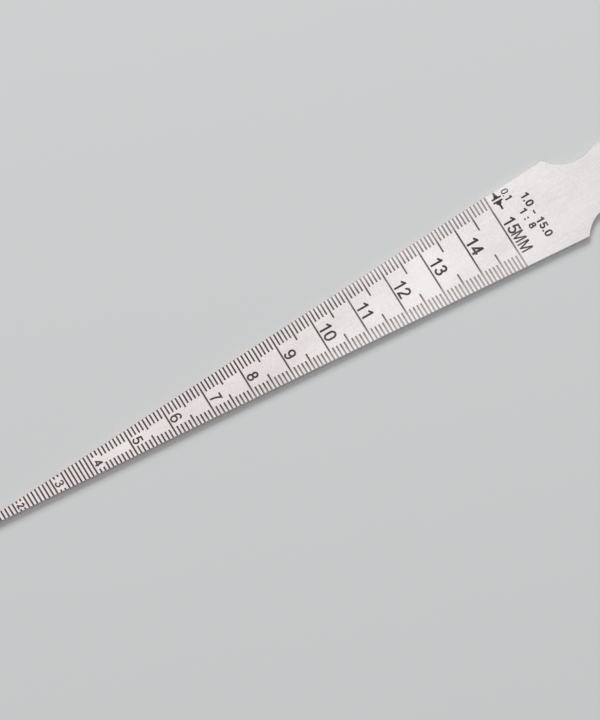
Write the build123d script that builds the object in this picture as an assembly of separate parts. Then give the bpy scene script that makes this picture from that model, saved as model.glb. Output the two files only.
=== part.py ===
"""Taper gauge for slots and small bores: one flat blade of stainless sheet, etched on its upper face.

The blade lies flat, with its lower face on the plane Z = 0, the pointed tip towards -X and the round head
towards +X. Outline and scale are laid out in scale coordinates, where X counts from the point at which the
two measuring edges would meet. There the blade is as wide as its reading, so each line of the scale stands
at its reading times the taper ratio. The finished blade is then moved to the middle of its own box.
"""

from build123d import *
from math import sqrt
import os

# Sheet, in millimetres
sheet_thickness = 1.2
edge_break = 0.08  # small chamfer round both faces and the hole

# Wedge
taper_ratio = 8.0  # length of blade for each millimetre of width
tip_width = 0.85
tip_round = 0.15
shoulder_width = 16.65
shoulder_round = 0.3

# Neck and head
neck_width = 10.35
scallop_radius = 7.15
head_bulge = 1.025  # the head stands out past the neck by this much on each side
hang_hole_diameter = 5.0

# Scale, in readings of the gauge
first_reading = 1.0
last_reading = 15.0
lines_per_reading = 10
last_crossing_reading = 4.0  # up to here every line crosses the blade
first_half_reading = 5.5  # from here on the lines at the halves are longer

# Etched lines, in millimetres
etch_depth = 0.06
line_width = 0.34

# Tick lengths: the length carried back to reading zero, and its growth for each unit of reading
upper_tick_start = 0.70
upper_tick_growth_ratio = 0.205
upper_tick_limit = 2.33
lower_tick_start = 0.92
lower_tick_growth_ratio = 0.125
half_tick_start = 0.64
half_tick_growth_ratio = 0.275

# Lines broken for the small numbers beside them: the reading, and the lengths left at both edges
broken_lines = {
    2.1: (0.50, 0.40),
    2.2: (0.50, 0.40),
    3.1: (0.55, 0.45),
    3.2: (0.50, 0.40),
    4.1: (1.00, 0.80),
    4.2: (1.00, 0.80),
}

# Cutters reach this far past the edges and above the face
cutter_overrun = 0.5

# Points of the outline, in scale coordinates
tip_x = tip_width * taper_ratio
shoulder_x = shoulder_width * taper_ratio
scallop_y = neck_width / 2 + scallop_radius
head_radius = neck_width / 2 + head_bulge
scallop_x = shoulder_x + sqrt(scallop_radius**2 - (scallop_y - shoulder_width / 2) ** 2)
head_x = scallop_x + sqrt((scallop_radius + head_radius) ** 2 - scallop_y**2)
head_end_x = head_x + head_radius
box_centre_x = (tip_x + head_end_x) / 2


def below(point):
    """The point's mirror image across the blade's axis."""
    return Vector(point.X, -point.Y)


def blank_outline():
    """Wedge, two scallops and round head with its hole. Each scallop runs smoothly into the head."""
    tip_corner = Vector(tip_x, tip_width / 2)
    shoulder = Vector(shoulder_x, shoulder_width / 2)
    scallop_floor = Vector(scallop_x, neck_width / 2)
    scallop_centre = Vector(scallop_x, scallop_y)
    towards_head = (Vector(head_x, 0) - scallop_centre).normalized()
    head_start = scallop_centre + towards_head * scallop_radius
    with BuildSketch() as outline:
        with BuildLine():
            Line(tip_corner, shoulder)
            ThreePointArc(shoulder, scallop_floor, head_start)
            mirror(about=Plane.XZ)
            ThreePointArc(head_start, (head_end_x, 0), below(head_start))
            Line(tip_corner, below(tip_corner))
        make_face()
        fillet(outline.vertices().group_by(Axis.X)[0], tip_round)
        across = outline.vertices().group_by(Axis.Y)
        fillet(across[0] + across[-1], shoulder_round)
        with Locations((head_x, 0)):
            Circle(hang_hole_diameter / 2, mode=Mode.SUBTRACT)
    return outline.sketch


def deburred_blank():
    """The blanked sheet with its edges broken, before etching."""
    blank = extrude(blank_outline(), amount=sheet_thickness)
    return chamfer(blank.faces().filter_by(Axis.Z).edges(), edge_break)


def groove(reading, lower_y, upper_y):
    """One etched line at a reading, between two places across the blade."""
    cutter = Box(line_width, upper_y - lower_y, etch_depth + cutter_overrun)
    floor_z = sheet_thickness - etch_depth
    middle = Vector(reading * taper_ratio, (lower_y + upper_y) / 2, floor_z + (etch_depth + cutter_overrun) / 2)
    return Pos(middle) * cutter


def crossing_line(reading):
    """A line from one measuring edge to the other."""
    outside_y = reading / 2 + cutter_overrun
    return [groove(reading, -outside_y, outside_y)]


def edge_ticks(reading, upper_length, lower_length):
    """Two ticks, each running in from its measuring edge."""
    edge_y = reading / 2
    outside_y = edge_y + cutter_overrun
    upper = groove(reading, edge_y - upper_length, outside_y)
    lower = groove(reading, -outside_y, lower_length - edge_y)
    return [upper, lower]


def half_ticks(reading):
    """The longer pair of ticks halfway between two numbers."""
    length = half_tick_start + half_tick_growth_ratio * reading
    return edge_ticks(reading, length, length)


def short_ticks(reading):
    """The shortest pair, whose lengths grow towards the head."""
    upper_length = min(upper_tick_start + upper_tick_growth_ratio * reading, upper_tick_limit)
    lower_length = lower_tick_start + lower_tick_growth_ratio * reading
    return edge_ticks(reading, upper_length, lower_length)


def etched_scale():
    """All the grooves of the scale."""
    grooves = []
    first_line = round(first_reading * lines_per_reading)
    last_line = round(last_reading * lines_per_reading)
    for number in range(first_line, last_line + 1):
        reading = number / lines_per_reading
        is_numbered = number % lines_per_reading == 0
        is_half = number % lines_per_reading == lines_per_reading // 2
        if reading in broken_lines:
            upper_length, lower_length = broken_lines[reading]
            grooves += edge_ticks(reading, upper_length, lower_length)
        elif is_numbered or reading <= last_crossing_reading:
            grooves += crossing_line(reading)
        elif is_half and reading >= first_half_reading:
            grooves += half_ticks(reading)
        else:
            grooves += short_ticks(reading)
    return grooves


def gauge_blade():
    """The finished gauge, moved from scale coordinates to the middle of its box."""
    return Pos(-box_centre_x, 0, 0) * (deburred_blank() - etched_scale())


os.makedirs("parts", exist_ok=True)
export_step(gauge_blade(), "parts/gauge_blade.step")
print(f"overall length {head_end_x - tip_x:.3f} mm, hole centre at x {head_x - box_centre_x:.3f} mm")
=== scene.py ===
"""Looks of a stainless taper gauge: satin steel, dark etched scale with its numbers, and a small studio.

Lengths are in metres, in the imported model's frame: the blade lies along X with its round head towards +X
and its etched face up. The file is laid out as an add-on and is run as a script.
"""

from math import cos, radians, sin
from typing import NamedTuple

import bmesh
import bpy
from bpy.props import FloatProperty, FloatVectorProperty, PointerProperty
from mathutils import Matrix, Vector


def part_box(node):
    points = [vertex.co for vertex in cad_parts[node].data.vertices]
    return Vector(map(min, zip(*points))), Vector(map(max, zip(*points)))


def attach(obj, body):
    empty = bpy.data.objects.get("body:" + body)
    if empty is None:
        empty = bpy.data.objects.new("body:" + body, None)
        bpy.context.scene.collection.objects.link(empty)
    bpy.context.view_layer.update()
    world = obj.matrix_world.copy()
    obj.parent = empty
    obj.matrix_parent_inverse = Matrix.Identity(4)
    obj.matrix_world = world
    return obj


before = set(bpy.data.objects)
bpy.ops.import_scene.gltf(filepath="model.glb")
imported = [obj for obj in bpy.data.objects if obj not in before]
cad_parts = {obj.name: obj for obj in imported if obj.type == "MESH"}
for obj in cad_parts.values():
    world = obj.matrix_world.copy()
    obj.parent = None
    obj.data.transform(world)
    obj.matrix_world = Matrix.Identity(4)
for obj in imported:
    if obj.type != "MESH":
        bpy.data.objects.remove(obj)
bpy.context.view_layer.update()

bl_info = {
    "name": "Taper gauge",
    "version": (1, 0, 0),
    "blender": (4, 5, 0),
    "location": "3D View > Sidebar > Taper gauge",
    "description": "Dresses a stainless taper gauge and sets it in a studio",
    "category": "Object",
}

MM = 0.001
MICRON = 0.000001
BLADE = "gauge_blade"
BODY = "root"

# How far numbers and small marks stand above the face, and reach below it
MARK_RELIEF = 0.01 * MM
MARK_SINK = 0.02 * MM
MARK_HEIGHT = MARK_RELIEF + MARK_SINK

# The last number of the scale. The unit and the other marks stand past its line.
LAST_NUMBER = 15

blade_low, blade_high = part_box(BLADE)


class BladeFinish(bpy.types.PropertyGroup):
    """Steel of the blade."""

    # The steel's own colour, away from the painted reflection at the tip
    colour: FloatVectorProperty(
        name="Steel",
        description="Colour of the clean satin steel",
        subtype="COLOR",
        default=(0.80, 0.775, 0.77),
        min=0.0,
        max=1.0,
    )
    # Painted reflection: the steel is painted darker and warmer towards the tip
    painted_reflection_tip_colour: FloatVectorProperty(
        name="Steel at the tip",
        description="Slightly warmer colour towards the tip",
        subtype="COLOR",
        default=(0.735, 0.678, 0.678),
        min=0.0,
        max=1.0,
    )
    mottle: FloatProperty(
        name="Mottle",
        description="How much lighter and darker the grain and the faint clouds are than the steel",
        subtype="FACTOR",
        default=0.05,
        min=0.0,
        max=0.5,
    )
    roughness: FloatProperty(
        name="Roughness",
        description="Roughness of the satin surface",
        subtype="FACTOR",
        default=0.38,
        min=0.0,
        max=1.0,
    )
    grain_depth: FloatProperty(
        name="Grain depth",
        description="Height of the satin grain",
        unit="LENGTH",
        default=1.5 * MICRON,
        min=0.0,
    )


class EtchedScale(bpy.types.PropertyGroup):
    """Scale, numbers and small marks."""

    colour: FloatVectorProperty(
        name="Filling",
        description="Colour of the dark filling in the numbers and small marks",
        subtype="COLOR",
        default=(0.030, 0.019, 0.017),
        min=0.0,
        max=1.0,
    )
    worn_colour: FloatVectorProperty(
        name="Thin filling",
        description="Colour where that filling lies thin",
        subtype="COLOR",
        default=(0.140, 0.108, 0.103),
        min=0.0,
        max=1.0,
    )
    line_colour: FloatVectorProperty(
        name="Lines at the tip",
        description="Colour of the filling in the lines near the tip",
        subtype="COLOR",
        default=(0.060, 0.042, 0.040),
        min=0.0,
        max=1.0,
    )
    pale_line_colour: FloatVectorProperty(
        name="Lines at the head",
        description="Colour of the thinner filling in the lines near the head",
        subtype="COLOR",
        default=(0.375, 0.320, 0.315),
        min=0.0,
        max=1.0,
    )
    taper_ratio: FloatProperty(
        name="Taper ratio",
        description="Length of blade for each millimetre of width",
        default=8.0,
        min=1.0,
    )
    tip_width: FloatProperty(
        name="Tip width",
        description="Width of the blade at its very tip",
        unit="LENGTH",
        default=0.85 * MM,
        min=0.0,
    )
    etch_depth: FloatProperty(
        name="Etch depth",
        description="Depth of the etched lines in the blade",
        unit="LENGTH",
        default=0.06 * MM,
        min=0.0,
    )
    fill_gap: FloatProperty(
        name="Filling gap",
        description="How far the filling of the lines lies below the face",
        unit="LENGTH",
        default=0.006 * MM,
        min=0.0,
    )


class Studio(bpy.types.PropertyGroup):
    """Floor, lights and camera."""

    floor_colour: FloatVectorProperty(
        name="Floor",
        description="Colour of the plain floor",
        subtype="COLOR",
        default=(0.58, 0.585, 0.59),
        min=0.0,
        max=1.0,
    )
    floor_width: FloatProperty(
        name="Floor width",
        description="Side of the square floor",
        unit="LENGTH",
        default=8.0,
        min=0.5,
    )
    zenith_strength: FloatProperty(
        name="Light from above",
        description="Strength of the surrounding light straight above",
        default=0.80,
        min=0.0,
    )
    horizon_strength: FloatProperty(
        name="Light from the sides",
        description="Strength of the surrounding light at the horizon",
        default=0.15,
        min=0.0,
    )
    key_place: FloatVectorProperty(
        name="Soft box place",
        description="Where the soft box that casts the shadow hangs",
        subtype="TRANSLATION",
        default=(0.25, 0.85, 0.85),
    )
    key_power: FloatProperty(
        name="Soft box power",
        description="Power of the soft box",
        unit="POWER",
        default=10.0,
        min=0.0,
    )
    key_width: FloatProperty(
        name="Soft box width",
        description="Side of the soft box",
        unit="LENGTH",
        default=0.6,
        min=0.1,
    )
    camera_place: FloatVectorProperty(
        name="Camera place",
        description="Where the camera stands",
        subtype="TRANSLATION",
        default=(-0.23609, -0.14622, 0.85351),
    )
    camera_turn: FloatVectorProperty(
        name="Camera turn",
        description="How the camera is turned",
        subtype="EULER",
        default=(radians(15.879), radians(-8.083), radians(-31.811)),
    )
    lens: FloatProperty(
        name="Lens",
        description="Focal length of the camera, in millimetres",
        default=250.0,
        min=10.0,
    )


def line_x(reading):
    """Where the line of a reading crosses the blade."""
    scale = bpy.context.scene.etched_scale
    apex_x = blade_low.x - scale.tip_width * scale.taper_ratio
    return apex_x + reading * MM * scale.taper_ratio


# Materials

# Noise mostly lies between these two values
NOISE_LOW = 0.3
NOISE_HIGH = 0.7

# Cells of the steel's patterns: length, width and height
GRAIN_CELL = (4.0 * MM, 0.09 * MM, 0.09 * MM)
FROSTING_CELL = (0.16 * MM, 0.16 * MM, 0.16 * MM)
CLOUD_CELL = (16.0 * MM, 9.0 * MM, 9.0 * MM)

# The grain's share of the steel's surface. The frosting makes up the rest.
GRAIN_SHARE = 0.45

# How far the clouds shift the steel's colour and tone, either way
CLOUD_SPREAD = 0.25

# How much rougher and smoother the frosting makes the steel
ROUGHNESS_SPREAD = 0.04

# Cells of the patches in which the filling lies thin
MARK_PATCH_CELL = (2.6 * MM, 1.6 * MM, 1.6 * MM)
LINE_PATCH_CELL = (1.1 * MM, 1.6 * MM, 1.6 * MM)


def fresh_material(name):
    """A node material with its shader, and the coordinates that its patterns read."""
    material = bpy.data.materials.new(name)
    material.use_nodes = True
    nodes = material.node_tree.nodes
    coordinates = nodes.new("ShaderNodeTexCoord").outputs["Object"]
    return material, nodes["Principled BSDF"], coordinates


def noise(material, coordinates, cell, detail=2.0):
    """Noise whose cells have the given length, width and height."""
    nodes, links = material.node_tree.nodes, material.node_tree.links
    mapping = nodes.new("ShaderNodeMapping")
    mapping.inputs["Scale"].default_value = [1.0 / side for side in cell]
    links.new(coordinates, mapping.inputs["Vector"])
    texture = nodes.new("ShaderNodeTexNoise")
    texture.inputs["Scale"].default_value = 1.0
    texture.inputs["Detail"].default_value = detail
    links.new(mapping.outputs["Vector"], texture.inputs["Vector"])
    return texture.outputs["Fac"]


def stretched(material, value, low, high):
    """Noise carried from its usual spread to a new range."""
    nodes, links = material.node_tree.nodes, material.node_tree.links
    ranged = nodes.new("ShaderNodeMapRange")
    ranged.inputs["From Min"].default_value = NOISE_LOW
    ranged.inputs["From Max"].default_value = NOISE_HIGH
    ranged.inputs["To Min"].default_value = low
    ranged.inputs["To Max"].default_value = high
    links.new(value, ranged.inputs["Value"])
    return ranged.outputs["Result"]


def added(material, first, second):
    """The sum of two values."""
    nodes, links = material.node_tree.nodes, material.node_tree.links
    total = nodes.new("ShaderNodeMath")
    total.operation = "ADD"
    links.new(first, total.inputs[0])
    links.new(second, total.inputs[1])
    return total.outputs["Value"]


def ramp(material, coordinates, axis, places, values):
    """A value that changes evenly along one axis, between two places."""
    nodes, links = material.node_tree.nodes, material.node_tree.links
    split = nodes.new("ShaderNodeSeparateXYZ")
    ranged = nodes.new("ShaderNodeMapRange")
    ranged.inputs["From Min"].default_value, ranged.inputs["From Max"].default_value = places
    ranged.inputs["To Min"].default_value, ranged.inputs["To Max"].default_value = values
    links.new(coordinates, split.inputs["Vector"])
    links.new(split.outputs[axis], ranged.inputs["Value"])
    return ranged.outputs["Result"]


def scale_ramp(material, coordinates, readings, values):
    """A ramp along the blade, between the lines of two readings."""
    places = [line_x(reading) for reading in readings]
    return ramp(material, coordinates, "X", places, values)


def edge_ramp(material, coordinates, edge_y, shares, values):
    """A ramp across the blade, between two shares of the way from its axis to an edge of the shoulder."""
    places = [share * edge_y for share in shares]
    return ramp(material, coordinates, "Y", places, values)


def between(material, share, first, second):
    """A colour between two others, each given as a colour or as a node's output."""
    nodes, links = material.node_tree.nodes, material.node_tree.links
    mix = nodes.new("ShaderNodeMix")
    mix.data_type = "RGBA"
    for name, colour in (("A", first), ("B", second)):
        if isinstance(colour, bpy.types.NodeSocket):
            links.new(colour, mix.inputs[name])
        else:
            mix.inputs[name].default_value = (*colour, 1.0)
    links.new(share, mix.inputs["Factor"])
    return mix.outputs["Result"]


def toned(material, colour, value):
    """The colour made lighter or darker by a value about one."""
    nodes, links = material.node_tree.nodes, material.node_tree.links
    tone = nodes.new("ShaderNodeHueSaturation")
    links.new(colour, tone.inputs["Color"])
    links.new(value, tone.inputs["Value"])
    return tone.outputs["Color"]


def satin_steel(finish):
    """Rolled stainless sheet with a fine grain along the blade and faint clouds, and painted light: a
    painted reflection makes the tip darker and warmer, and painted shade dims the shoulder.
    """
    material, shader, coordinates = fresh_material("satin_stainless")
    nodes, links = material.node_tree.nodes, material.node_tree.links
    grain = noise(material, coordinates, GRAIN_CELL, detail=3.0)
    frosting = noise(material, coordinates, FROSTING_CELL)
    clouds = noise(material, coordinates, CLOUD_CELL, detail=3.0)
    clouds = stretched(material, clouds, -CLOUD_SPREAD, CLOUD_SPREAD)
    surface = added(
        material,
        stretched(material, grain, 0.0, GRAIN_SHARE),
        stretched(material, frosting, 0.0, 1.0 - GRAIN_SHARE),
    )
    # Painted reflection: the steel turns darker and warmer from line 13 down to line 8 and on to the tip
    painted_reflection_tip_to_steel = scale_ramp(material, coordinates, (8, 13), (0.0, 1.0))
    colour = between(material, added(material, painted_reflection_tip_to_steel, clouds), finish.painted_reflection_tip_colour, finish.colour)
    mottled = stretched(material, added(material, clouds, surface), 1.0 - finish.mottle, 1.0 + finish.mottle)
    # Painted shade: the steel dims a little from line 14 to line 17, and stays dim on to the shoulder
    painted_shade_shoulder = scale_ramp(material, coordinates, (14, 17), (0.0, -0.06))
    tone = added(material, mottled, painted_shade_shoulder)
    links.new(toned(material, colour, tone), shader.inputs["Base Color"])
    least, most = finish.roughness - ROUGHNESS_SPREAD, finish.roughness + ROUGHNESS_SPREAD
    links.new(stretched(material, frosting, least, most), shader.inputs["Roughness"])
    shader.inputs["Metallic"].default_value = 1.0
    bump = nodes.new("ShaderNodeBump")
    bump.inputs["Strength"].default_value = 0.6
    bump.inputs["Distance"].default_value = finish.grain_depth
    links.new(surface, bump.inputs["Height"])
    links.new(bump.outputs["Normal"], shader.inputs["Normal"])
    return material


def mark_filling(scale):
    """Matt dark filling of the numbers and small marks, thinner here and there."""
    material, shader, coordinates = fresh_material("mark_filling")
    links = material.node_tree.links
    patches = noise(material, coordinates, MARK_PATCH_CELL, detail=3.0)
    lower = edge_ramp(material, coordinates, blade_low.y, (-0.1, 0.6), (-0.1, 0.3))
    upper = edge_ramp(material, coordinates, blade_high.y, (0.77, 0.87), (0.0, 0.9))
    thinness = added(material, stretched(material, patches, -0.35, 0.75), added(material, lower, upper))
    links.new(between(material, thinness, scale.colour, scale.worn_colour), shader.inputs["Base Color"])
    links.new(stretched(material, patches, 0.62, 0.8), shader.inputs["Roughness"])
    return material


def line_filling(scale):
    """Matt filling of the lines, thin and pale towards the head and the edges, but thicker about 14."""
    material, shader, coordinates = fresh_material("line_filling")
    links = material.node_tree.links
    patches = stretched(material, noise(material, coordinates, LINE_PATCH_CELL), -0.12, 0.12)
    towards_head = scale_ramp(material, coordinates, (8, 12), (0.0, 0.25))
    thicker = scale_ramp(material, coordinates, (13.2, 13.9), (0.0, -0.22))
    thinner_again = scale_ramp(material, coordinates, (14.2, 14.9), (0.0, 0.22))
    along = added(material, towards_head, added(material, thicker, thinner_again))
    upper = edge_ramp(material, coordinates, blade_high.y, (0.48, 0.66), (0.0, 0.52))
    lower = edge_ramp(material, coordinates, blade_low.y, (0.28, 0.69), (0.0, 1.0))
    thinness = added(material, added(material, along, added(material, upper, lower)), patches)
    colour = between(material, thinness, scale.line_colour, scale.pale_line_colour)
    links.new(colour, shader.inputs["Base Color"])
    shader.inputs["Roughness"].default_value = 0.7
    return material


# Making pieces


def add_piece(name, mesh, material):
    """A finished piece at the origin, riding on the blade's body."""
    data = bpy.data.meshes.new(name)
    bmesh.ops.recalc_face_normals(mesh, faces=mesh.faces)
    mesh.to_mesh(data)
    mesh.free()
    data.materials.append(material)
    piece = bpy.data.objects.new(name, data)
    bpy.context.scene.collection.objects.link(piece)
    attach(piece, BODY)


def take_in(mesh, part):
    """Adds a finished part to a mesh."""
    data = bpy.data.meshes.new("part")
    part.to_mesh(data)
    part.free()
    mesh.from_mesh(data)
    bpy.data.meshes.remove(data)


def cut_back(mesh, place, outwards):
    """Cuts off what lies outwards of a plane, and closes the cut."""
    cut = bmesh.ops.bisect_plane(
        mesh,
        geom=[*mesh.verts, *mesh.edges, *mesh.faces],
        plane_co=place,
        plane_no=outwards,
        clear_outer=True,
    )
    rim = [item for item in cut["geom_cut"] if isinstance(item, bmesh.types.BMEdge)]
    bmesh.ops.holes_fill(mesh, edges=[edge for edge in rim if edge.is_boundary])


def join_flat_faces(mesh):
    """Makes one face of neighbours that lie in one plane."""
    bmesh.ops.dissolve_limit(mesh, angle_limit=radians(1), verts=mesh.verts, edges=mesh.edges)


def shared_mark_filling():
    """The one filling that all numbers and small marks share, made the first time it is asked for."""
    return bpy.data.materials.get("mark_filling") or mark_filling(bpy.context.scene.etched_scale)


# Figures are drawn one unit high, with their foot on the line y = 0. A pen follows the middle of each
# stroke, so it keeps half a stroke inside the figure's outline.

ARC_STEP = 9.0  # degrees from one point of a curve to the next
ONE_POINT = 0.001  # points closer than this are one point
FIGURE_WIDTH = 0.59
MIDDLE = FIGURE_WIDTH / 2


class Pen:
    """Draws the middle line of each stroke of a figure as a chain of edges."""

    def __init__(self, stroke_width):
        self.stroke_width = stroke_width
        self.half = stroke_width / 2
        self.strokes = []
        self.tip = None

    def start(self, x, y):
        """Sets the pen down for a new stroke."""
        stroke = bmesh.new()
        self.strokes.append(stroke)
        self.tip = bmesh.ops.create_vert(stroke, co=(x, y, 0.0))["vert"][0]

    def start_on(self, centre, radii, degrees):
        """Sets the pen down on an oval, at an angle counted from its right side."""
        angle = radians(degrees)
        self.start(centre[0] + radii[0] * cos(angle), centre[1] + radii[1] * sin(angle))

    def line(self, x, y):
        """Draws straight on to a point."""
        stroke = self.strokes[-1]
        self.tip = bmesh.ops.extrude_vert_indiv(stroke, verts=[self.tip])["verts"][0]
        bmesh.ops.translate(stroke, verts=[self.tip], vec=Vector((x, y, 0.0)) - self.tip.co)

    def turn(self, centre, radii, degrees):
        """Draws on round the centre of an oval with these radii. A full turn closes and ends the stroke."""
        stretch = radii[0] / radii[1]
        spun = bmesh.ops.spin(
            self.strokes[-1],
            geom=[self.tip],
            cent=(centre[0] / stretch, centre[1], 0.0),
            axis=(0.0, 0.0, 1.0),
            angle=radians(degrees),
            steps=round(abs(degrees) / ARC_STEP),
            space=Matrix.Diagonal((1.0 / stretch, 1.0, 1.0, 1.0)),
            use_merge=abs(degrees) == 360,
        )
        self.tip = spun["geom_last"][0]


def draw_0(pen):
    """Two half ovals joined by short straight sides."""
    radii = (MIDDLE - pen.half, 0.36 - pen.half)
    pen.start(pen.half, 0.36)
    pen.line(pen.half, 0.64)
    pen.turn((MIDDLE, 0.64), radii, -180)
    pen.line(FIGURE_WIDTH - pen.half, 0.36)
    pen.turn((MIDDLE, 0.36), radii, -180)


def draw_1(pen):
    """Stem and flag."""
    pen.start(0.38, 0.0)
    pen.line(0.38, 1.0)
    pen.start(0.11, 0.71)
    pen.line(0.37, 0.91)


def draw_2(pen):
    """Bowl and slope, which bends down past the foot, then the base."""
    centre = (0.30, 0.715)
    radii = (0.28 - pen.half, 0.285 - pen.half)
    corner_x = 0.03 + pen.half
    pen.start_on(centre, radii, 184)
    pen.turn(centre, radii, -224)
    pen.line(corner_x + 0.14, pen.half + 0.26)
    pen.turn((corner_x + 0.70, pen.half - 0.22), (1.0, 1.0), 36)
    pen.start(corner_x, pen.half)
    pen.line(FIGURE_WIDTH, pen.half)


def draw_3(pen):
    """Two open bowls that meet at the waist."""
    top, waist, foot = 1.0 - pen.half, 0.535, pen.half
    upper = (MIDDLE, (top + waist) / 2)
    lower = (MIDDLE, (waist + foot) / 2)
    upper_radii = (0.265 - pen.half, (top - waist) / 2)
    pen.start_on(upper, upper_radii, 180)
    pen.turn(upper, upper_radii, -270)
    pen.line(0.21, waist)
    pen.start(MIDDLE, waist)
    pen.turn(lower, (MIDDLE - pen.half, (waist - foot) / 2), -262)


def draw_4(pen):
    """Slope and crossbar, then the stem."""
    crossbar = 0.20 + pen.half
    pen.start(0.44, 0.95)
    pen.line(pen.half, crossbar)
    pen.line(0.63, crossbar)
    pen.start(0.45, 0.0)
    pen.line(0.45, 1.0)


def draw_5(pen):
    """Flag and short stem, then the bowl."""
    top = 1.0 - pen.half
    centre = (0.285, 0.335)
    radii = (0.305 - pen.half, 0.335 - pen.half)
    pen.start(0.55, top)
    pen.line(0.17, top)
    pen.line(0.11, 0.47)
    pen.start_on(centre, radii, 133)
    pen.turn(centre, radii, -303)


def draw_6(pen):
    """Long outer curve, then the closed bowl."""
    upper = (MIDDLE, 0.64)
    upper_radii = (MIDDLE - pen.half, 0.36 - pen.half)
    pen.start_on(upper, upper_radii, 25)
    pen.turn(upper, upper_radii, 155)
    pen.line(pen.half, 0.32)
    pen.start(pen.half, 0.32)
    pen.turn((MIDDLE, 0.32), (MIDDLE - pen.half, 0.32 - pen.half), 360)


def draw_7(pen):
    """Bar, then a slightly hollow slope."""
    top = 1.0 - pen.half
    pen.start(0.04, top)
    pen.line(0.47, top)
    pen.turn((1.94, 0.03), (1.0, 1.0), 32.7)


def draw_8(pen):
    """Two closed bowls that meet at the waist."""
    top, waist, foot = 1.0 - pen.half, 0.515, pen.half
    for high, low, reach in ((top, waist, 0.255), (waist, foot, MIDDLE)):
        centre = (MIDDLE, (high + low) / 2)
        radii = (reach - pen.half, (high - low) / 2)
        pen.start_on(centre, radii, 180)
        pen.turn(centre, radii, 360)


def draw_9(pen):
    """A six turned round by half a turn."""
    draw_6(pen)
    half_turn = Matrix.Rotation(radians(180), 3, "Z")
    for stroke in pen.strokes:
        bmesh.ops.rotate(stroke, cent=(MIDDLE, 0.5, 0.0), matrix=half_turn, verts=stroke.verts)


def draw_m(pen):
    """Two stems and the deep notch between them."""
    left, right, middle = pen.half, 0.74 - pen.half, 0.37
    for stem in (left, right):
        pen.start(stem, 0.0)
        pen.line(stem, 1.0)
    pen.start(left + 0.02, 1.05)
    pen.line(middle, 0.08)
    pen.line(right - 0.02, 1.05)


def draw_point(pen):
    """A square dot on the foot line."""
    pen.start(pen.half, 0.0)
    pen.line(pen.half, pen.stroke_width)


def draw_colon(pen):
    """Two square dots."""
    draw_point(pen)
    pen.start(pen.half, 0.45)
    pen.line(pen.half, 0.45 + pen.stroke_width)


def draw_dash(pen):
    """A short bar at half height."""
    pen.start(0.03, 0.40)
    pen.line(0.45, 0.40)


def draw_space(pen):
    """Nothing."""


DIGITS = (draw_0, draw_1, draw_2, draw_3, draw_4, draw_5, draw_6, draw_7, draw_8, draw_9)
DIGIT_ADVANCE = 0.68

# Each figure with its drawing and the room it takes along the row
FIGURES = {
    "M": (draw_m, 0.89),
    ".": (draw_point, 0.26),
    ":": (draw_colon, 0.36),
    "-": (draw_dash, 0.54),
    " ": (draw_space, 0.40),
}
for digit, draw_digit in enumerate(DIGITS):
    FIGURES[str(digit)] = (draw_digit, DIGIT_ADVANCE)


def stroke_part(stroke, width):
    """One stroke as an upright wall, thickened to the stroke's width."""
    bmesh.ops.remove_doubles(stroke, verts=stroke.verts, dist=ONE_POINT)
    walls = bmesh.ops.extrude_edge_only(stroke, edges=stroke.edges)
    raised = [item for item in walls["geom"] if isinstance(item, bmesh.types.BMVert)]
    bmesh.ops.translate(stroke, verts=raised, vec=(0.0, 0.0, 1.0))
    bmesh.ops.recalc_face_normals(stroke, faces=stroke.faces)
    data = bpy.data.meshes.new("stroke")
    stroke.to_mesh(data)
    stroke.free()
    part = bpy.data.objects.new("stroke", data)
    bpy.context.scene.collection.objects.link(part)
    wall = part.modifiers.new("wall", "SOLIDIFY")
    wall.thickness = width
    wall.offset = 0.0
    wall.use_even_offset = True
    return part


def figure_solid(draw, stroke_width):
    """One figure as a closed solid, one unit high and one unit thick, trimmed at its foot and top."""
    pen = Pen(stroke_width)
    draw(pen)
    solid = bmesh.new()
    parts = [stroke_part(stroke, stroke_width) for stroke in pen.strokes]
    if not parts:
        return solid
    for part in parts[1:]:
        join = parts[0].modifiers.new("join", "BOOLEAN")
        join.operation = "UNION"
        join.solver = "EXACT"
        join.object = part
    graph = bpy.context.evaluated_depsgraph_get()
    joined = bpy.data.meshes.new_from_object(parts[0].evaluated_get(graph))
    solid.from_mesh(joined)
    cut_back(solid, (0.0, 0.0, 0.0), (0.0, -1.0, 0.0))
    cut_back(solid, (0.0, 1.0, 0.0), (0.0, 1.0, 0.0))
    # Where strokes cross, their flat faces cut one another up
    join_flat_faces(solid)
    bmesh.ops.remove_doubles(solid, verts=solid.verts, dist=ONE_POINT)
    bpy.data.meshes.remove(joined)
    for part in parts:
        bpy.data.meshes.remove(part.data)
    return solid


class Row(NamedTuple):
    """Place and size of a row of figures, in millimetres."""

    foot: float  # how far past its line the figures' foot stands
    start_y: float
    height: float
    stroke_width: float
    stretch: float = 1.0  # how much wider than usual the figures run


NUMBER_ROWS = {
    "2": Row(0.48, 0.31, 1.42, 0.29),
    "3": Row(0.34, 0.50, 1.70, 0.27, stretch=1.10),
    "4": Row(0.38, 0.33, 1.54, 0.27, stretch=1.15),
    "5": Row(0.37, 0.46, 1.98, 0.32, stretch=1.02),
    "6": Row(0.32, 0.65, 2.28, 0.335),
    "7": Row(0.50, 0.28, 2.25, 0.35),
    "8": Row(0.32, 0.40, 2.30, 0.36),
    "9": Row(0.29, 0.56, 2.35, 0.37, stretch=1.02),
    "10": Row(0.38, 1.70, 2.50, 0.38, stretch=1.02),
    "11": Row(0.40, 1.68, 2.42, 0.37),
    "12": Row(0.40, 1.80, 2.56, 0.385, stretch=0.97),
    "13": Row(0.50, 2.20, 2.55, 0.41),
    "14": Row(0.40, 2.20, 2.45, 0.43),
    "15": Row(0.48, 2.22, 2.48, 0.38),
}
UNIT_ROWS = {"MM": Row(0.56, -0.95, 2.42, 0.29)}
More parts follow.
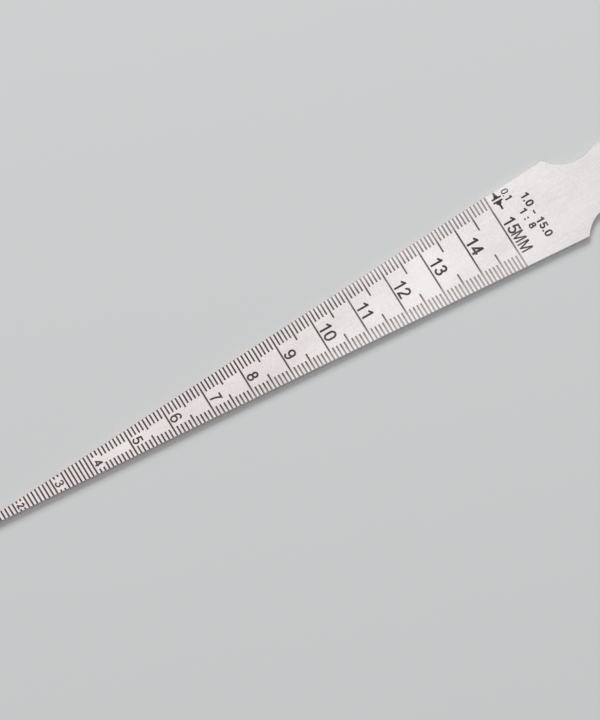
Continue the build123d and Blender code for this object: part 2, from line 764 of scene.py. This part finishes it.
DIVISION_ROWS = {"0.": Row(3.27, 7.08, 1.45, 0.22), "1": Row(3.27, 5.717, 1.45, 0.31)}
RANGE_ROWS = {
    "1.0 - 15.0": Row(6.05, 4.75, 1.65, 0.32, stretch=1.09),
    "1 : 8": Row(4.30, 2.35, 1.50, 0.30, stretch=1.15),
}


def set_row(mesh, text, reading, row):
    """Sets a row of figures past a line. It reads towards -Y, with the figures' tops towards the head."""
    x, y = line_x(reading) + row.foot * MM, row.start_y * MM
    height = row.height * MM
    width = height * row.stretch
    for figure in text:
        draw, advance = FIGURES[figure]
        solid = figure_solid(draw, row.stroke_width / row.height)
        place = Matrix.Translation((x, y, blade_high.z - MARK_SINK)) @ Matrix.Rotation(radians(-90), 4, "Z")
        size = Matrix.Diagonal((width, height, MARK_HEIGHT, 1.0))
        bmesh.ops.transform(solid, matrix=place @ size, verts=solid.verts)
        take_in(mesh, solid)
        y -= advance * width


def set_end_rows(mesh, rows):
    """Sets rows of figures past the last number's line."""
    for text, row in rows.items():
        set_row(mesh, text, LAST_NUMBER, row)


class FinishBlade(bpy.types.Operator):
    """Gives the blade its satin steel"""

    bl_idname = "taper_gauge.finish_blade"
    bl_label = "Finish the blade"

    def execute(self, context):
        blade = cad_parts[BLADE]
        blade.data.materials.clear()
        blade.data.materials.append(satin_steel(context.scene.blade_finish))
        return {"FINISHED"}


# The broken edge of the blade looks as far up as outwards, give or take this much
SLANT = cos(radians(45))
SLANT_SPREAD = 0.1


class FillLines(bpy.types.Operator):
    """Lays dark filling in the etched lines of the blade"""

    bl_idname = "taper_gauge.fill_lines"
    bl_label = "Fill the etched lines"

    def execute(self, context):
        scale = context.scene.etched_scale
        floor_z = blade_high.z - scale.etch_depth
        mesh = bmesh.new()
        mesh.from_mesh(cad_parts[BLADE].data)
        bmesh.ops.remove_doubles(mesh, verts=mesh.verts, dist=MICRON)
        broken_edges = self.broken_edges(mesh)
        self.keep_groove_floors(mesh, floor_z)
        self.raise_bars(mesh, floor_z, scale.etch_depth - scale.fill_gap)
        for place, outwards in broken_edges:
            cut_back(mesh, place - outwards * scale.fill_gap, outwards)
        add_piece("etched_lines", mesh, line_filling(scale))
        return {"FINISHED"}

    def broken_edges(self, mesh):
        """A point and the direction of the broken edge, on each side of the wedge."""
        slanted = [face for face in mesh.faces if abs(face.normal.z - SLANT) < SLANT_SPREAD]
        sides = []
        for side in (1.0, -1.0):
            outer = [face for face in slanted if abs(side * face.normal.y - SLANT) < SLANT_SPREAD]
            longest = max(outer, key=lambda face: face.calc_area())
            sides.append((longest.calc_center_median(), longest.normal.copy()))
        return sides

    def keep_groove_floors(self, mesh, floor_z):
        """Deletes every face that isn't the floor of an etched line."""
        others = [face for face in mesh.faces if any(abs(v.co.z - floor_z) > MICRON for v in face.verts)]
        bmesh.ops.delete(mesh, geom=others, context="FACES")
        if not mesh.faces:
            raise RuntimeError("the blade has no etched lines of this depth")
        join_flat_faces(mesh)

    def raise_bars(self, mesh, floor_z, thickness):
        """Raises the floors into bars, whose roots reach a little into the steel."""
        grown = bmesh.ops.extrude_face_region(mesh, geom=mesh.faces)
        tops = [item for item in grown["geom"] if isinstance(item, bmesh.types.BMVert)]
        bmesh.ops.translate(mesh, verts=tops, vec=(0.0, 0.0, thickness))
        roots = [vert for vert in mesh.verts if vert.co.z < floor_z + MICRON]
        bmesh.ops.translate(mesh, verts=roots, vec=(0.0, 0.0, -MARK_SINK))


class SetNumbers(bpy.types.Operator):
    """Sets the numbers beside their lines, and the unit after the last one"""

    bl_idname = "taper_gauge.set_numbers"
    bl_label = "Set the numbers"

    def execute(self, context):
        mesh = bmesh.new()
        for number, row in NUMBER_ROWS.items():
            set_row(mesh, number, int(number), row)
        set_end_rows(mesh, UNIT_ROWS)
        add_piece("scale_numbers", mesh, shared_mark_filling())
        return {"FINISHED"}


class HeadedBar(NamedTuple):
    """One half of the division mark: a bar along the blade, and a head that narrows into a stem."""

    bar_y: float
    stem_end_y: float
    head_width: float


# The bars' middle stands this far past the last number's line
BARS_PAST_LINE = 1.93 * MM
BAR_LENGTH = 1.97 * MM
BAR_WIDTH = 0.33 * MM

# A head narrows in two steps of this length, first to this share of its width and then to the stem
HEAD_STEP = 0.30 * MM
HEAD_SHARE = 0.8
STEM_WIDTH = 0.42 * MM

UPPER_HALF = HeadedBar(bar_y=6.25 * MM, stem_end_y=7.42 * MM, head_width=0.92 * MM)
LOWER_HALF = HeadedBar(bar_y=5.60 * MM, stem_end_y=3.96 * MM, head_width=1.22 * MM)


class SetDivisionMark(bpy.types.Operator):
    """Sets the mark that gives the value of one division: its figures, and two bars with a head each"""

    bl_idname = "taper_gauge.set_division_mark"
    bl_label = "Set the division mark"

    def execute(self, context):
        mesh = bmesh.new()
        for half in (UPPER_HALF, LOWER_HALF):
            take_in(mesh, self.headed_bar(line_x(LAST_NUMBER) + BARS_PAST_LINE, half))
        set_end_rows(mesh, DIVISION_ROWS)
        add_piece("division_mark", mesh, shared_mark_filling())
        return {"FINISHED"}

    def headed_bar(self, x, half):
        """A bar with its head and stem, as one solid."""
        solid = bmesh.new()
        place = Matrix.Translation((x, half.bar_y, blade_high.z + (MARK_RELIEF - MARK_SINK) / 2))
        size = Matrix.Diagonal((BAR_LENGTH, BAR_WIDTH, MARK_HEIGHT, 1.0))
        bmesh.ops.create_cube(solid, size=1.0, matrix=place @ size)
        for side in (-1.0, 1.0):
            bmesh.ops.bisect_plane(
                solid,
                geom=[*solid.verts, *solid.edges, *solid.faces],
                plane_co=(x + side * half.head_width / 2, 0.0, 0.0),
                plane_no=(1.0, 0.0, 0.0),
            )
        outwards = 1.0 if half.stem_end_y > half.bar_y else -1.0
        first_y = half.bar_y + outwards * (BAR_WIDTH / 2 + HEAD_STEP)
        steps = (
            (first_y, HEAD_SHARE * half.head_width),
            (first_y + outwards * HEAD_STEP, STEM_WIDTH),
            (half.stem_end_y, STEM_WIDTH),
        )
        sides = [face for face in solid.faces if face.normal.y * outwards > 0.9]
        end = min(sides, key=lambda face: abs(face.calc_center_median().x - x))
        for y, width in steps:
            end = bmesh.ops.extrude_discrete_faces(solid, faces=[end])["faces"][0]
            for vert in end.verts:
                vert.co.x = x + (width / 2 if vert.co.x > x else -width / 2)
                vert.co.y = y
        return solid


class SetRange(bpy.types.Operator):
    """Sets two short rows of plain figures near the shoulder: the range and the taper"""

    bl_idname = "taper_gauge.set_range"
    bl_label = "Set the range"

    def execute(self, context):
        mesh = bmesh.new()
        set_end_rows(mesh, RANGE_ROWS)
        add_piece("range_figures", mesh, shared_mark_filling())
        return {"FINISHED"}


class BuildStudio(bpy.types.Operator):
    """Lays the floor and sets up the lights and the camera"""

    bl_idname = "taper_gauge.build_studio"
    bl_label = "Build the studio"

    def execute(self, context):
        studio = context.scene.studio
        self.lay_floor(studio)
        self.light_all_round(studio)
        self.hang_soft_box(studio)
        self.place_camera(studio)
        context.scene.view_settings.view_transform = "Standard"
        return {"FINISHED"}

    def lay_floor(self, studio):
        """A plain matt floor at the height of the blade's lower face."""
        mesh = bmesh.new()
        bmesh.ops.create_grid(mesh, x_segments=1, y_segments=1, size=studio.floor_width / 2)
        data = bpy.data.meshes.new("floor")
        mesh.to_mesh(data)
        mesh.free()
        material, shader, _ = fresh_material("floor")
        shader.inputs["Base Color"].default_value = (*studio.floor_colour, 1.0)
        shader.inputs["Roughness"].default_value = 0.9
        shader.inputs["Specular IOR Level"].default_value = 0.1
        data.materials.append(material)
        floor = bpy.data.objects.new("floor", data)
        floor.location.z = blade_low.z
        bpy.context.scene.collection.objects.link(floor)

    def light_all_round(self, studio):
        """Soft white light from the surroundings, strongest from above."""
        world = bpy.data.worlds.new("surroundings")
        world.use_nodes = True
        nodes, links = world.node_tree.nodes, world.node_tree.links
        split = nodes.new("ShaderNodeSeparateXYZ")
        links.new(nodes.new("ShaderNodeTexCoord").outputs["Generated"], split.inputs["Vector"])
        strength = nodes.new("ShaderNodeMapRange")
        strength.inputs["To Min"].default_value = studio.horizon_strength
        strength.inputs["To Max"].default_value = studio.zenith_strength
        links.new(split.outputs["Z"], strength.inputs["Value"])
        nodes["Background"].inputs["Color"].default_value = (1.0, 1.0, 1.0, 1.0)
        links.new(strength.outputs["Result"], nodes["Background"].inputs["Strength"])
        bpy.context.scene.world = world

    def hang_soft_box(self, studio):
        """A square area light that faces the middle of the blade and casts the shadow."""
        lamp = bpy.data.lights.new("key", "AREA")
        lamp.shape = "SQUARE"
        lamp.size = studio.key_width
        lamp.energy = studio.key_power
        holder = bpy.data.objects.new("key", lamp)
        holder.location = studio.key_place
        holder.rotation_euler = studio.key_place.to_track_quat("Z", "Y").to_euler()
        bpy.context.scene.collection.objects.link(holder)

    def place_camera(self, studio):
        """The camera at the photograph's viewing angle."""
        camera = bpy.data.cameras.new("camera")
        camera.lens = studio.lens
        holder = bpy.data.objects.new("camera", camera)
        holder.location = studio.camera_place
        holder.rotation_euler = studio.camera_turn
        bpy.context.scene.collection.objects.link(holder)
        bpy.context.scene.camera = holder


class TaperGaugePanel(bpy.types.Panel):
    """Sidebar panel with the settings and the steps"""

    bl_idname = "VIEW3D_PT_taper_gauge"
    bl_label = "Taper gauge"
    bl_space_type = "VIEW_3D"
    bl_region_type = "UI"
    bl_category = "Taper gauge"

    def draw(self, context):
        for settings in (context.scene.blade_finish, context.scene.etched_scale, context.scene.studio):
            box = self.layout.box()
            for name in settings.__annotations__:
                box.prop(settings, name)
        for step in STEPS:
            self.layout.operator(step.bl_idname)


STEPS = (FinishBlade, FillLines, SetNumbers, SetDivisionMark, SetRange, BuildStudio)
SETTINGS = {"blade_finish": BladeFinish, "etched_scale": EtchedScale, "studio": Studio}


def register():
    for name, group in SETTINGS.items():
        bpy.utils.register_class(group)
        setattr(bpy.types.Scene, name, PointerProperty(type=group))
    for step in STEPS:
        bpy.utils.register_class(step)
    bpy.utils.register_class(TaperGaugePanel)


def unregister():
    bpy.utils.unregister_class(TaperGaugePanel)
    for step in reversed(STEPS):
        bpy.utils.unregister_class(step)
    for name, group in SETTINGS.items():
        delattr(bpy.types.Scene, name)
        bpy.utils.unregister_class(group)


def main():
    register()
    bpy.ops.taper_gauge.finish_blade()
    bpy.ops.taper_gauge.fill_lines()
    bpy.ops.taper_gauge.set_numbers()
    bpy.ops.taper_gauge.set_division_mark()
    bpy.ops.taper_gauge.set_range()
    bpy.ops.taper_gauge.build_studio()


if __name__ == "__main__":
    main()
